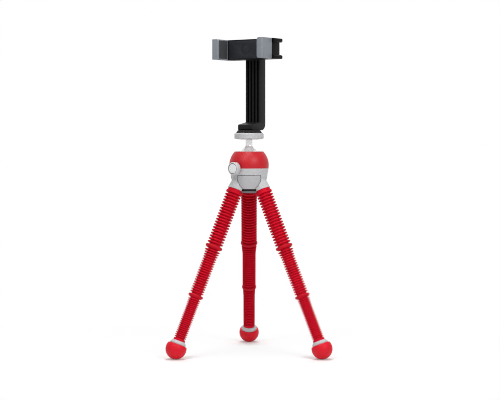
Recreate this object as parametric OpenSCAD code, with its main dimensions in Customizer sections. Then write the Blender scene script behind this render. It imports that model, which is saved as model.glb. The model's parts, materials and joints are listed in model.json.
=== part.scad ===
// Small tripod with three flexible ribbed legs, a ball head and a sprung phone clamp.
// Millimetres. Z is up, the floor is z = 0 under the middle of the legs, a phone faces -Y.

/* [Leg lengths] */
// Length of the upper ribbed sleeve
upper_len = 62.2; // [50:0.1:75]
// Thickness of the collar under the upper sleeve
knee_t = 3.0; // [2.4:0.1:4]
// Length of the middle ribbed sleeve
middle_len = 50.9; // [42:0.1:65]
// Thickness of the collar under the middle sleeve
ankle_t = 2.8; // [2.2:0.1:4]
// Length of the lower ribbed sleeve
lower_len = 47.4; // [40:0.1:65]
// Thickness of the foot cap
cap_t = 3.8; // [3:0.1:6]
// Height of the cut face of a foot over the foot's centre
foot_cut = 4.6; // [3:0.1:6]

/* [Leg sections] */
// Diameter over the ribs of the upper sleeve
upper_rib_d = 16.7; // [15:0.1:18]
// Diameter between the ribs of the upper sleeve
upper_root_d = 11.8; // [11:0.1:13]
// Diameter of the links in the upper sleeve
upper_rod_d = 8.4; // [7.4:0.1:9]
// Distance between the ribs of the upper sleeve
upper_pitch = 3.07; // [2.6:0.01:4]
// Diameter over the ribs of the middle sleeve
middle_rib_d = 14.4; // [12.4:0.1:15]
// Diameter between the ribs of the middle sleeve
middle_root_d = 10.3; // [9.2:0.1:11]
// Diameter of the links in the middle sleeve
middle_rod_d = 6.9; // [6:0.1:7.4]
// Distance between the ribs of the middle sleeve
middle_pitch = 2.53; // [2.2:0.01:3.4]
// Diameter over the ribs of the lower sleeve
lower_rib_d = 12.6; // [10.8:0.1:13]
// Diameter between the ribs of the lower sleeve
lower_root_d = 9.5; // [8.6:0.1:10]
// Diameter of the links in the lower sleeve
lower_rod_d = 6.4; // [5.6:0.1:6.8]
// Distance between the ribs of the lower sleeve
lower_pitch = 2.03; // [1.8:0.01:2.8]
// Diameter of the bead on the collar under the upper sleeve
knee_d = 17.9; // [16.5:0.1:20]
// Diameter of the bead on the collar under the middle sleeve
ankle_d = 15.6; // [14:0.1:17]
// Radius of the rubber foot
foot_r = 10.7; // [9.5:0.1:13]
// Diameter of the foot cap
cap_d = 16.6; // [14:0.1:18]

/* [Stance] */
// Lean of each leg from upright, degrees
leg_lean = 23.3; // [19:0.1:28]
// Turn of the rear leg from the clamp's length, degrees
leg_turn = 125; // [95:1:155]
// Distance of a leg's mouth from the middle of the hub
hip_r = 16.4; // [16.4:0.1:20]

/* [Hub] */
// Height of the ball's centre over the leg mouths
hub_rise = 25.2; // [25:0.1:30]
// Outer radius of the red dome
housing_r = 20.5; // [18.4:0.1:24]
// Wall of the dome outside the ball's seat
housing_wall = 2.3; // [2:0.1:3]
// Height cut off the top of the dome
dome_cut = 6.3; // [5.9:0.1:7]
// Depth of the parting line under the ball's centre
parting = 3.2; // [2.6:0.1:4]
// Radius of the hub's waist
waist_r = 17.2; // [16.4:0.1:18.5]
// Depth of the waist under the ball's centre
waist_drop = 16; // [15:0.1:17.5]
// Outer radius of a leg mouth
mouth_r = 8.1; // [7:0.1:8.6]
// Greatest width of a web panel
panel_w = 24; // [20:0.1:26]
// Thickness of a web panel
panel_t = 1.6; // [1.2:0.1:2]
// Thickness of the bottom cover
cover_t = 4; // [2:0.1:4.5]

/* [Ball head] */
// Radius of the neck
neck_r = 3.5; // [3.2:0.1:4.5]
// Height of the platform's underside over the ball's centre
platform_rise = 26.6; // [26:0.1:34]
// Radius of the platform disc
platform_r = 15.2; // [13:0.1:18]
// Thickness of the platform disc
platform_t = 6.7; // [6.5:0.1:10]
// Thickness of the rubber pad on the platform
pad_t = 2.9; // [1.5:0.1:4]
// Radius of the lock knob
knob_r = 6.6; // [5:0.1:8]
// Thickness of the lock knob
knob_t = 6; // [4.2:0.1:8]
// Direction of the lock knob, degrees
knob_turn = 267; // [255:1:290]

/* [Phone mount arm] */
// Width of the arm
arm_w = 18.3; // [16:0.1:22]
// Thickness of the arm's upright
arm_t = 9.6; // [9:0.1:12]
// Thickness of the arm's foot
foot_t = 6; // [6:0.1:9]
// Reach of the arm's foot in front of the stud
foot_reach = 7; // [6.6:0.1:12]
// Height of the clamp's middle over the platform pad
clamp_rise = 83.2; // [75:0.1:110]
// Depth of the grooves in the arm's front
groove_depth = 4.2; // [2:0.1:5]

/* [Phone clamp] */
// Height of the clamp
clamp_h = 20.8; // [20.7:0.1:24]
// Distance of the phone's back in front of the stud
rest_front = 7; // [5:0.1:9]
// Depth of the clamp's housing
housing_depth = 13.5; // [12.5:0.1:16]
// Depth of the jaws in front of the phone's back
jaw_depth = 19.5; // [13:0.1:23]
// Gap between the jaws when closed
closed_gap = 51.8; // [50:0.1:58]
// Distance of the fixed jaw's face from the stud
fixed_jaw_x = 29.5; // [26:0.1:33]
// Thickness of the fixed jaw
fixed_jaw_t = 5.1; // [4:0.1:7]
// Thickness of the moving jaw
moving_jaw_t = 6.2; // [5.4:0.1:8]
// Overhang of the lip on each jaw
jaw_lip = 1.9; // [1.4:0.1:3]
// Thickness of the jaw liners
liner_t = 1.2; // [0.8:0.1:1.3]
// Travel of the moving jaw
jaw_travel = 36; // [30:0.5:36]

/* [Accessory shoe] */
// Width of the shoe's slot
shoe_slot_w = 18.6; // [18.5:0.05:18.8]
// Height of the shoe's slot
shoe_slot_h = 2.1; // [2:0.05:2.3]
// Gap between the shoe's lips
shoe_gap = 12.5; // [12:0.1:13]
// Thickness of the shoe's lips
shoe_lip_t = 1.6; // [1.3:0.05:2]

/* [Clearances] */
// Gap round a turning pin
pin_gap = 0.1; // [0.05:0.01:0.2]
// Gap between pieces that pass each other
pass_gap = 0.3; // [0.3:0.05:0.5]
// Gap round a piece that is pushed in
push_gap = 0.05; // [0.02:0.01:0.1]

/* [Hidden] */
$fn = 64;
eps = 0.5;
LEGS = ["rear", "left", "right"];

// Colours
RED = "#b9122b";
GREY = "#b9babd";
DARK = "#1b1c1f";
JAW = "#84888d";
STEEL = "#d8d8d6";
BRASS = "#b9923f";
NYLON = "#e6e2d6";

// Legs, measured along a leg from its mouth in the hub
knee_s = upper_len;
middle_s = knee_s + knee_t;
ankle_s = middle_s + middle_len;
lower_s = ankle_s + ankle_t;
cap_s = lower_s + lower_len;
foot_face_s = cap_s + cap_t;
leg_len = foot_face_s + foot_cut;
hip_z = foot_r + leg_len * cos(leg_lean);
first_bend = 0.25;
second_bend = 0.75;
hip_depth = 7.5;
hip_spigot_step = 1.4;
cuff_len = 4.6;
cuff_edge = 0.5;
cuff_neck_len = 2.2;
cuff_neck_cut = 1.1;
cuff_wall = 0.2;
end_cuff_len = 2.4;
top_band = 0.5;
end_band = 0.4;
taper_ribs = 3;
knee_swell = 1.2;
ankle_swell = 0.5;
rib_foot_share = 0.2;
rib_tip_share = 0.36;
cap_step = 0.4;
cap_band = 1.5;
foot_peg_r = 3;
foot_peg_len = 5;

// Knuckles, as shares of the link's radius
eye_share = 0.62;
tongue_share = 0.31;
trunnion_share = 0.26;
knuckle_relief = 0.05;

// Heights of the head
ball_z = hip_z + hub_rise;
parting_z = ball_z - parting;
platform_z = ball_z + platform_rise;
pad_z = platform_z + platform_t;
arm_z = pad_z + pad_t;
clamp_z = arm_z + clamp_rise;

// Hub
tilt_max = 30;
flare_angle = 42;
seat_wall = 1.9;
seat_top = 3;
seat_drop = 6;
cavity_gap = 0.6;
seat_pocket_r = housing_r - housing_wall;
seat_r = seat_pocket_r - pass_gap;
ball_r = seat_r - seat_wall;
cavity_r = ball_r + cavity_gap;
flare_apex = ball_r / sin(flare_angle);
dome_top = housing_r - dome_cut;
shell_curve = 1.5;
core_drop = 24.5;
core_step = 2;
core_r = waist_r - core_step;
boss_root = 3;
boss_taper = 0.8;
panel_top = 10.5;
panel_shoulder = 2.6;
panel_corner = 0.5;
panel_bottom_w = 10.5;
panel_curve = 2.2;
panel_gap = 0.25;
panel_proud = 0.3;
recess_run_out = 4;
recess_floor_run = 1;
cover_r = core_r - pass_gap;
base_screw_ring = 8;
base_screw_r = 1;
base_screw_len = 5;
base_screw_head_r = 2;
base_screw_head_t = 1;

// Lock
shoe_r = 2.5;
shoe_len = 1.5;
lock_screw_r = 2.5;
lock_bore_r = shoe_r + pin_gap;
shoe_tip = seat_pocket_r;
shank_r = 3.4;
shank_start = housing_r + 0.5;
knob_start = housing_r + 1.3;
knob_back_chamfer = 0.8;
knob_front_chamfer = 1;
knob_rim = 1.1;
knob_dish = 0.5;
knob_dish_slope = 0.4;
knob_face_t = 1.8;
lock_reach = 2;

// Platform
stud_r = 6.35 / 2;
stem_spigot = 4.9;
stud_len_over_pad = 4.5;
disc_flat_r = platform_r - 6.8;
disc_under_slope = 0.7;
disc_edge = 0.6;
disc_chamfer = 0.9;
pad_base_r = platform_r - 1.6;
pad_top_r = platform_r - 3.6;

// Arm
washer_t = 0.5;
washer_r = 7.6;
insert_r = 4.8;
insert_len = 4.8;
arm_front = housing_depth - rest_front + washer_t;
arm_back = arm_front + arm_t;
bend_r = 6.8;
bend_lap = 1;
inner_bend = 0.8;
foot_slope = 2.2;
groove_count = 4;
rib_w = 1.35;
side_wall = 1.9;
pivot_r = 3;
pivot_head_r = 5.2;
pivot_head_t = 2;
pivot_recess = 3.3;
drive_slot_r = 2.6;
drive_slot_w = 1;
drive_slot_depth = 1;
groove_margin = 1.5;

// Clamp
clamp_low = clamp_z - clamp_h / 2;
rest_y = -rest_front;
back_y = rest_y + housing_depth;
jaw_front_y = rest_y - jaw_depth;
moving_jaw_x = fixed_jaw_x - closed_gap;
shoe_sink = 0.9;
shoe_reach = 2;
shoe_front_y = rest_y - shoe_reach;
shoe_floor_x = fixed_jaw_x + fixed_jaw_t - shoe_sink;
shoe_base_t = 1.6;
shoe_mouth = 1.2;
shoe_corner = 1.2;
housing_end_x = shoe_floor_x - shoe_base_t;
jaw_seat = 1.4;
fixed_jaw_back = rest_y + jaw_seat;
shell_t = 2;
bulkhead_t = 3;
front_t = 3;
back_t = 2.5;
rod_r = 1.2;
rod_offset = 5.6;
rod_grip = 4;
rod_collar_r = 2;
rod_collar_t = 1.5;
pivot_boss_r = 2.9;
pivot_thread_r = 1.75;
thread_bite = 0.5;
cap_disc_r = 5;
cap_disc_t = 1.2;
cap_disc_sink = 0.15;
liner_margin = 0.4;
liner_edge = 1.2;
rod_end_gap = 1.8;
rod_end_x = housing_end_x - shell_t - rod_end_gap;
lip_depth = 2.5;
lip_corner = 1.8;
edge_r = 1.4;
spring_wire_r = 0.25;
spring_r = 1.75;
spring_solid_gap = 0.2;
spring_start_x = moving_jaw_x + bulkhead_t;
spring_len = rod_end_x - rod_collar_t - spring_start_x;
spring_turns = floor((spring_len - jaw_travel) / (2 * spring_wire_r + spring_solid_gap));
spring_sides = 6;
spring_steps = 8;

// Helpers
function eye_r(r) = eye_share * r;
function tongue_half(r) = tongue_share * r;
function cheek_in(r) = tongue_half(r) + pass_gap;
function cheek_out(r) = sqrt(r * r - eye_r(r) * eye_r(r)) - knuckle_relief;
function trunnion_r(r) = trunnion_share * r;
function knuckle_reach(r) = eye_r(r) + pass_gap + knuckle_relief;
function upper_r() = upper_rod_d / 2;
function middle_r() = middle_rod_d / 2;
function lower_r() = lower_rod_d / 2;
function hip_spigot_r() = upper_r() - hip_spigot_step;
function leg_angle(i) = leg_turn + 360 / len(LEGS) * i;
function panel_angle(i) = leg_angle(i) + 180 / len(LEGS);
function shell_at(drop) = let (t = max(0, (drop - parting) / (waist_drop - parting)))
  rim_r() - (rim_r() - waist_r) * pow(t, shell_curve);
function rim_r() = sqrt(housing_r * housing_r - parting * parting);
function panel_r(drop) = shell_at(panel_top) + panel_proud
  - (shell_at(panel_top) - core_r - panel_proud) * (drop - panel_top) / (core_drop - panel_top);

module box(low, high) {
  translate(low) cube(high - low);
}

module on_leg(i) {
  rotate([0, 0, leg_angle(i)]) translate([hip_r, 0, hip_z]) rotate([0, 180 - leg_lean, 0]) children();
}

module rod(r, from, to) {
  translate([0, 0, from]) cylinder(r = r, h = to - from);
}

module along_y(r, from, to) {
  translate([0, from, 0]) rotate([-90, 0, 0]) cylinder(r = r, h = to - from);
}

module along_x(r, from, to) {
  translate([from, 0, 0]) rotate([0, 90, 0]) cylinder(r = r, h = to - from);
}

module bead(r, t) {
  rotate_extrude() union() {
    square([r - t / 2, t]);
    translate([r - t / 2, t / 2]) circle(r = t / 2);
  }
}

// Knuckles: a fork hangs under a link, a tongue with trunnions stands on the next
module fork(r) {
  cheek_t = cheek_out(r) - cheek_in(r);
  difference() {
    for (side = [0, 1]) mirror([0, side, 0]) {
      along_y(eye_r(r), cheek_in(r), cheek_out(r));
      translate([-eye_r(r), cheek_in(r), -knuckle_reach(r) - eps])
        cube([2 * eye_r(r), cheek_t, knuckle_reach(r) + eps]);
    }
    along_y(trunnion_r(r) + pin_gap, -r, r);
  }
}

module tongue(r) {
  along_y(eye_r(r), -tongue_half(r), tongue_half(r));
  translate([-eye_r(r), -tongue_half(r), 0])
    cube([2 * eye_r(r), 2 * tongue_half(r), knuckle_reach(r) + eps]);
  along_y(trunnion_r(r), -cheek_out(r), cheek_out(r));
}

// In and out bends turn about a leg's own Y, sideways bends about its X
module fork_at(r, s, sideways) {
  translate([0, 0, s]) rotate([0, 0, sideways ? 90 : 0]) fork(r);
}

module tongue_at(r, s, sideways) {
  translate([0, 0, s]) rotate([0, 0, sideways ? 90 : 0]) tongue(r);
}

// Ribbed sleeve, from its top at zero down to its end
function sleeve_points(length, rib_r, root_r, top, swell, end_cuff, end_r, pitch) =
  let (top_len = top[len(top) - 1][1] + cuff_edge,
       count = floor((length - top_len - end_cuff) / pitch),
       start = top_len + (length - top_len - end_cuff - count * pitch) / 2)
  concat(
    top, [[root_r, top_len]],
    [for (i = [0 : count - 1])
      let (z = start + i * pitch,
           r = rib_r + swell * max(0, 1 - (i + 1) / (taper_ribs + 1)))
      each [[root_r, z + rib_foot_share * pitch], [r, z + rib_tip_share * pitch],
            [r, z + (1 - rib_tip_share) * pitch], [root_r, z + (1 - rib_foot_share) * pitch]]],
    [[root_r, length - end_cuff], [end_r, length - end_cuff], [end_r, length]]);

module sleeve(length, rib_d, root_d, rod_d, pitch, top, swell, end_cuff, end_r) {
  bore_r = rod_d / 2 + pass_gap;
  outline = sleeve_points(length, rib_d / 2, root_d / 2, top, swell, end_cuff, end_r, pitch);
  rotate_extrude() polygon(concat([[bore_r, 0]], outline, [[bore_r, length]]));
}

module hip(i) {
  color(DARK) on_leg(i) {
    rod(hip_spigot_r(), -hip_depth, eps);
    rod(upper_r(), 0, first_bend * upper_len - knuckle_reach(upper_r()));
    fork_at(upper_r(), first_bend * upper_len, false);
  }
}

module plain_link(i, r, top_s, length) {
  color(DARK) on_leg(i) {
    tongue_at(r, top_s + first_bend * length, false);
    rod(r, top_s + first_bend * length + knuckle_reach(r),
        top_s + second_bend * length - knuckle_reach(r));
    fork_at(r, top_s + second_bend * length, true);
  }
}

module collar(i, r_above, r_below, bend_above, s, bead_d, t, bend_below) {
  color(RED) on_leg(i) {
    tongue_at(r_above, bend_above, true);
    rod(r_above, bend_above + knuckle_reach(r_above), s + eps);
    translate([0, 0, s]) bead(bead_d / 2, t);
    rod(r_below, s + t - eps, bend_below - knuckle_reach(r_below));
    fork_at(r_below, bend_below, false);
  }
}

module upper_link(i) {
  plain_link(i, upper_r(), 0, upper_len);
}

module middle_link(i) {
  plain_link(i, middle_r(), middle_s, middle_len);
}

module lower_link(i) {
  plain_link(i, lower_r(), lower_s, lower_len);
}

module knee_collar(i) {
  collar(i, upper_r(), middle_r(), second_bend * upper_len, knee_s, knee_d, knee_t,
         middle_s + first_bend * middle_len);
}

module ankle_collar(i) {
  collar(i, middle_r(), lower_r(), middle_s + second_bend * middle_len, ankle_s, ankle_d, ankle_t,
         lower_s + first_bend * lower_len);
}

module upper_sleeve(i) {
  bead_r = upper_rib_d / 2 + cuff_wall;
  neck_r = bead_r - cuff_neck_cut;
  color(RED) on_leg(i)
    sleeve(upper_len, upper_rib_d, upper_root_d, upper_rod_d, upper_pitch,
           [[neck_r, 0], [neck_r, cuff_neck_len], [bead_r, cuff_neck_len + cuff_edge],
            [bead_r, cuff_len]],
           cuff_wall, end_band, upper_root_d / 2);
}

module middle_sleeve(i) {
  color(RED) on_leg(i) translate([0, 0, middle_s])
    sleeve(middle_len, middle_rib_d, middle_root_d, middle_rod_d, middle_pitch,
           [[(knee_d - knee_t) / 2, 0], [(knee_d - knee_t) / 2, top_band]],
           knee_swell, end_band, middle_root_d / 2);
}

module lower_sleeve(i) {
  color(RED) on_leg(i) translate([0, 0, lower_s])
    sleeve(lower_len, lower_rib_d, lower_root_d, lower_rod_d, lower_pitch,
           [[(ankle_d - ankle_t) / 2, 0], [(ankle_d - ankle_t) / 2, top_band]],
           ankle_swell, end_cuff_len, lower_rib_d / 2 - cuff_wall);
}

module foot_cap(i) {
  bend = lower_s + second_bend * lower_len;
  color(GREY) on_leg(i) {
    tongue_at(lower_r(), bend, true);
    rod(lower_r(), bend + knuckle_reach(lower_r()), cap_s + eps);
    translate([0, 0, cap_s]) rotate_extrude() polygon([
      [0, 0], [lower_rib_d / 2 + cap_step, 0], [cap_d / 2, cap_t - cap_band], [cap_d / 2, cap_t],
      [0, cap_t]]);
    rod(foot_peg_r, foot_face_s - eps, foot_face_s + foot_peg_len);
  }
}

module foot(i) {
  color(RED) on_leg(i) difference() {
    translate([0, 0, leg_len]) sphere(r = foot_r);
    box([-foot_r, -foot_r, foot_face_s - 2 * foot_r], [foot_r, foot_r, foot_face_s]);
    rod(foot_peg_r + push_gap, foot_face_s - eps, foot_face_s + foot_peg_len);
  }
}

// Hub
module lock_axis() {
  translate([0, 0, parting_z]) rotate([0, 0, knob_turn]) rotate([0, 90, 0]) children();
}

module lock_bore() {
  lock_axis() rod(lock_bore_r, seat_r - lock_reach, housing_r + eps);
}

// Outline of the bowl and its core, down from the parting line
module bowl_outline() {
  steps = 10;
  polygon(concat(
    [[0, -parting]],
    [for (k = [0 : steps]) let (drop = parting + (waist_drop - parting) * k / steps)
      [shell_at(drop), -drop]],
    [[core_r, -core_drop], [0, -core_drop]]));
}

// Shield outline of a web panel, as seen from outside
function panel_half_w(drop) = let (shoulder = panel_top + panel_shoulder)
  panel_w / 2 - (panel_w - panel_bottom_w) / 2 * pow((drop - shoulder) / (core_drop - shoulder), panel_curve);
module panel_outline(grow, floor_drop) {
  steps = 8;
  shoulder = panel_top + panel_shoulder;
  top_half = panel_w / 2 - panel_corner + grow;
  side = [for (k = [0 : steps]) let (drop = shoulder + (floor_drop - shoulder) * k / steps)
    [panel_half_w(drop) + grow, -drop]];
  polygon(concat(
    [[top_half, -panel_top + grow]], side,
    [for (k = [steps : -1 : 0]) [-side[k][0], side[k][1]]], [[-top_half, -panel_top + grow]]));
}

// A panel is the shield cut out of a cone that lies over the waist
module panel_solid(i, grow, depth, proud, floor_drop) {
  top = panel_top - grow;
  rotate([0, 0, panel_angle(i)]) translate([0, 0, ball_z]) intersection() {
    rotate([90, 0, 90]) linear_extrude(height = 2 * housing_r) panel_outline(grow, floor_drop);
    rotate_extrude() polygon([
      [panel_r(top) - depth, -top], [panel_r(top) + proud, -top],
      [panel_r(floor_drop) + proud, -floor_drop], [panel_r(floor_drop) - depth, -floor_drop]]);
  }
}

module leg_boss(i) {
  depth = hip_depth + boss_root;
  on_leg(i) translate([0, 0, -depth]) cylinder(r1 = boss_taper * mouth_r, r2 = mouth_r, h = depth);
}

module base_screw_places() {
  for (i = [0 : 2]) rotate([0, 0, panel_angle(i)])
    translate([base_screw_ring, 0, ball_z - core_drop - cover_t]) children();
}

module socket_bowl() {
  color(GREY) difference() {
    union() {
      translate([0, 0, ball_z]) rotate_extrude() bowl_outline();
      for (i = [0 : 2]) leg_boss(i);
    }
    translate([0, 0, ball_z]) sphere(r = cavity_r);
    rod(seat_pocket_r, ball_z - seat_drop, ball_z);
    for (i = [0 : 2]) on_leg(i) rod(hip_spigot_r() + push_gap, -hip_depth, eps);
    for (i = [0 : 2])
      panel_solid(i, panel_gap, panel_t + push_gap, recess_run_out, core_drop + recess_floor_run);
    base_screw_places() rod(base_screw_r + push_gap, 0, cover_t + base_screw_len);
    lock_bore();
  }
}

module socket_dome() {
  swing = 90 - flare_angle + tilt_max;
  rim = ball_r + pass_gap;
  bore_low = seat_top + pass_gap;
  bore_r1 = (rim - bore_low * cos(swing)) / sin(swing);
  bore_r2 = (rim - (dome_top + eps) * cos(swing)) / sin(swing);
  color(RED) difference() {
    translate([0, 0, ball_z]) sphere(r = housing_r);
    box([-housing_r, -housing_r, parting_z - housing_r], [housing_r, housing_r, parting_z]);
    box([-housing_r, -housing_r, ball_z + dome_top], [housing_r, housing_r, ball_z + housing_r + eps]);
    rod(seat_pocket_r, parting_z - eps, ball_z + bore_low);
    translate([0, 0, ball_z + bore_low])
      cylinder(r1 = bore_r1, r2 = bore_r2, h = dome_top + eps - bore_low);
    lock_bore();
  }
}

module web_panels() {
  color("#a9abaf") for (i = [0 : 2]) panel_solid(i, 0, panel_t, 0, core_drop);
}

module base_cover() {
  color(DARK) difference() {
    rod(cover_r, ball_z - core_drop - cover_t, ball_z - core_drop);
    for (i = [0 : 2]) on_leg(i) rod(upper_rib_d / 2 + pass_gap, -hip_depth, upper_len);
    base_screw_places() {
      rod(base_screw_r + push_gap, -eps, cover_t + eps);
      rod(base_screw_head_r + push_gap, -eps, base_screw_head_t);
    }
  }
}

module base_screws() {
  color(STEEL) base_screw_places() {
    rod(base_screw_r, 0, cover_t + base_screw_len);
    rod(base_screw_head_r, 0, base_screw_head_t);
  }
}

module ball_seat() {
  color(NYLON) translate([0, 0, ball_z]) difference() {
    rod(seat_r, -seat_drop, seat_top);
    sphere(r = ball_r + pin_gap);
  }
}

// Lock
module lock_knob() {
  rim_out = knob_r - knob_front_chamfer;
  rim_in = rim_out - knob_rim;
  color(GREY) lock_axis() difference() {
    union() {
      rod(shank_r, shank_start, knob_start + eps);
      translate([0, 0, knob_start]) rotate_extrude() polygon([
        [0, 0], [knob_r - knob_back_chamfer, 0], [knob_r, knob_back_chamfer],
        [knob_r, knob_t - knob_front_chamfer], [rim_out, knob_t], [rim_in, knob_t],
        [rim_in - knob_dish_slope, knob_t - knob_dish], [0, knob_t - knob_dish]]);
    }
    rod(lock_screw_r + push_gap, shank_start - eps, knob_start + knob_t - knob_face_t);
  }
}

module lock_screw() {
  color(STEEL) lock_axis() rod(lock_screw_r, shoe_tip + shoe_len, knob_start + knob_t - knob_face_t);
}

module brake_shoe() {
  color(NYLON) lock_axis() rod(shoe_r, shoe_tip, shoe_tip + shoe_len);
}

// Ball head
module ball_stem() {
  flare_top = flare_apex - neck_r / tan(flare_angle);
  tangent_h = ball_r * sin(flare_angle);
  color(STEEL) translate([0, 0, ball_z]) {
    sphere(r = ball_r);
    translate([0, 0, tangent_h])
      cylinder(r1 = ball_r * cos(flare_angle), r2 = neck_r, h = flare_top - tangent_h);
    rod(neck_r, flare_top - eps, platform_rise + stem_spigot);
  }
}

module platform_disc() {
  color(GREY) translate([0, 0, platform_z]) difference() {
    rotate_extrude() polygon([
      [0, 0], [disc_flat_r, 0], [platform_r - disc_edge, disc_under_slope],
      [platform_r, disc_under_slope + disc_edge],
      [platform_r, platform_t - disc_chamfer], [platform_r - disc_chamfer, platform_t], [0, platform_t]]);
    rod(neck_r + push_gap, -eps, stem_spigot);
    rod(stud_r + push_gap, -eps, platform_t + eps);
  }
}

module platform_pad() {
  color(DARK) difference() {
    translate([0, 0, pad_z]) cylinder(r1 = pad_base_r, r2 = pad_top_r, h = pad_t);
    rod(stud_r + pass_gap, pad_z - eps, arm_z + eps);
  }
}

module mount_stud() {
  color(STEEL) rod(stud_r, platform_z + stem_spigot, arm_z + stud_len_over_pad);
}

// Phone mount arm
module arm_outline() {
  top = clamp_z - arm_z;
  polygon([[-foot_reach, edge_r], [-foot_reach + edge_r, 0], [arm_back - bend_r, 0], [arm_back, bend_r],
           [arm_back, top], [arm_front, top], [arm_front, foot_t + foot_slope + inner_bend],
           [arm_front - inner_bend, foot_t + foot_slope], [-foot_reach + edge_r, foot_t],
           [-foot_reach, foot_t - edge_r]]);
  for (y = [edge_r, foot_t - edge_r]) translate([-foot_reach + edge_r, y]) circle(r = edge_r);
}

module mount_arm() {
  groove_w = (arm_w - 2 * side_wall - (groove_count - 1) * rib_w) / groove_count;
  groove_low = foot_t + foot_slope;
  groove_high = clamp_z - arm_z - arm_w / 2 - groove_margin;
  color(DARK) difference() {
    union() {
      translate([-arm_w / 2, 0, arm_z]) rotate([90, 0, 90]) linear_extrude(height = arm_w) arm_outline();
      translate([0, 0, clamp_z]) along_y(arm_w / 2, arm_front, arm_back);
      translate([0, arm_back - bend_r, arm_z + bend_r]) intersection() {
        rotate([0, 90, 0]) cylinder(r = bend_r, h = arm_w, center = true);
        box([-arm_w / 2 - eps, -bend_lap, -bend_r - eps], [arm_w / 2 + eps, bend_r + eps, bend_lap]);
      }
    }
    for (k = [0 : groove_count - 1]) {
      x = -arm_w / 2 + side_wall + k * (groove_w + rib_w);
      box([x, arm_front - eps, arm_z + groove_low],
          [x + groove_w, arm_front + groove_depth, arm_z + groove_high]);
    }
    rod(insert_r + push_gap, arm_z - eps, arm_z + insert_len);
    translate([0, 0, clamp_z]) {
      along_y(pivot_r + pin_gap, arm_front - eps, arm_back);
      along_y(pivot_head_r + pass_gap, arm_back - pivot_recess, arm_back + eps);
    }
  }
}

module thread_insert() {
  color(BRASS) difference() {
    rod(insert_r, arm_z, arm_z + insert_len);
    rod(stud_r + pin_gap, arm_z - eps, arm_z + insert_len + eps);
  }
}

module pivot_washer() {
  color(STEEL) translate([0, 0, clamp_z]) difference() {
    along_y(washer_r, back_y, arm_front);
    along_y(pivot_r + pin_gap, back_y - eps, arm_front + eps);
  }
}

module pivot_screw() {
  head_y = arm_back - pivot_recess;
  color(STEEL) translate([0, 0, clamp_z]) difference() {
    union() {
      along_y(pivot_thread_r, rest_y + front_t - thread_bite, back_y + eps);
      along_y(pivot_r, back_y, head_y + eps);
      along_y(pivot_head_r, head_y, head_y + pivot_head_t);
    }
    for (turn = [0, 90]) rotate([0, turn, 0])
      box([-drive_slot_r, head_y + pivot_head_t - drive_slot_depth, -drive_slot_w / 2],
          [drive_slot_r, head_y + pivot_head_t + eps, drive_slot_w / 2]);
  }
}

// Phone clamp
module at_rods() {
  for (side = [-1, 1]) translate([0, 0, clamp_z + side * rod_offset]) children();
}

module clamp_housing() {
  cavity_low = [moving_jaw_x + bulkhead_t, rest_y + front_t, clamp_low + shell_t];
  cavity_high = [housing_end_x - shell_t, back_y + eps, clamp_low + clamp_h - shell_t];
  color(DARK) difference() {
    union() {
      difference() {
        box([moving_jaw_x, rest_y, clamp_low], [housing_end_x, back_y, clamp_low + clamp_h]);
        box(cavity_low, cavity_high);
      }
      translate([0, 0, clamp_z]) along_y(pivot_boss_r, rest_y + front_t - eps, back_y);
    }
    box([fixed_jaw_x, rest_y - eps, clamp_low - eps],
        [housing_end_x + eps, fixed_jaw_back, clamp_low + clamp_h + eps]);
    translate([0, 0, clamp_z]) {
      along_y(pivot_thread_r + push_gap, rest_y + front_t - thread_bite, back_y + eps);
      along_y(cap_disc_r + push_gap, rest_y - eps, rest_y + cap_disc_t);
    }
    at_rods() along_x(rod_r + pin_gap, moving_jaw_x - eps, moving_jaw_x + bulkhead_t + eps);
  }
}

module clamp_cover() {
  color(DARK) difference() {
    box([moving_jaw_x + bulkhead_t + push_gap, back_y - back_t, clamp_low + shell_t + push_gap],
        [housing_end_x - shell_t - push_gap, back_y, clamp_low + clamp_h - shell_t - push_gap]);
    translate([0, 0, clamp_z]) along_y(pivot_boss_r + push_gap, back_y - back_t - eps, back_y + eps);
  }
}

module pivot_cap() {
  color("#26272b") translate([0, 0, clamp_z])
    along_y(cap_disc_r, rest_y + cap_disc_sink, rest_y + cap_disc_t);
}

// Outline of a jaw from above: its wall, with a lip at the front that reaches over the phone
module jaw_outline(t, back) {
  tip_r = edge_r / 2;
  translate([0, jaw_front_y + edge_r]) square([t, back - jaw_front_y - edge_r]);
  translate([-jaw_lip + tip_r, jaw_front_y]) square([t + jaw_lip - edge_r - tip_r, lip_depth]);
  translate([t - edge_r, jaw_front_y + edge_r]) circle(r = edge_r);
  for (y = [jaw_front_y + tip_r, jaw_front_y + lip_depth - tip_r])
    translate([-jaw_lip + tip_r, y]) circle(r = tip_r);
  translate([-jaw_lip, jaw_front_y + tip_r]) square([edge_r, lip_depth - edge_r]);
}

// A jaw stands on its outline, and the corners of its lip are cut off above and below
module jaw_solid(t, back) {
  difference() {
    translate([0, 0, clamp_low]) linear_extrude(height = clamp_h) jaw_outline(t, back);
    for (side = [0, 1]) translate([0, 0, clamp_z]) mirror([0, 0, side])
      translate([0, jaw_front_y + lip_depth + eps, 0]) rotate([90, 0, 0])
        linear_extrude(height = lip_depth + 2 * eps)
          polygon([[-jaw_lip - eps, clamp_h / 2 + eps], [-jaw_lip - eps, clamp_h / 2 - lip_corner],
                   [-jaw_lip, clamp_h / 2 - lip_corner], [lip_corner - jaw_lip, clamp_h / 2],
                   [lip_corner - jaw_lip, clamp_h / 2 + eps]]);
  }
}

module fixed_jaw() {
  color(JAW) difference() {
    translate([fixed_jaw_x, 0, 0]) jaw_solid(fixed_jaw_t, fixed_jaw_back);
    box([housing_end_x, shoe_front_y, clamp_low - eps],
        [fixed_jaw_x + fixed_jaw_t + eps, fixed_jaw_back + eps, clamp_low + clamp_h + eps]);
    liner(fixed_jaw_x - eps, fixed_jaw_x + liner_t, push_gap);
  }
}

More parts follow.
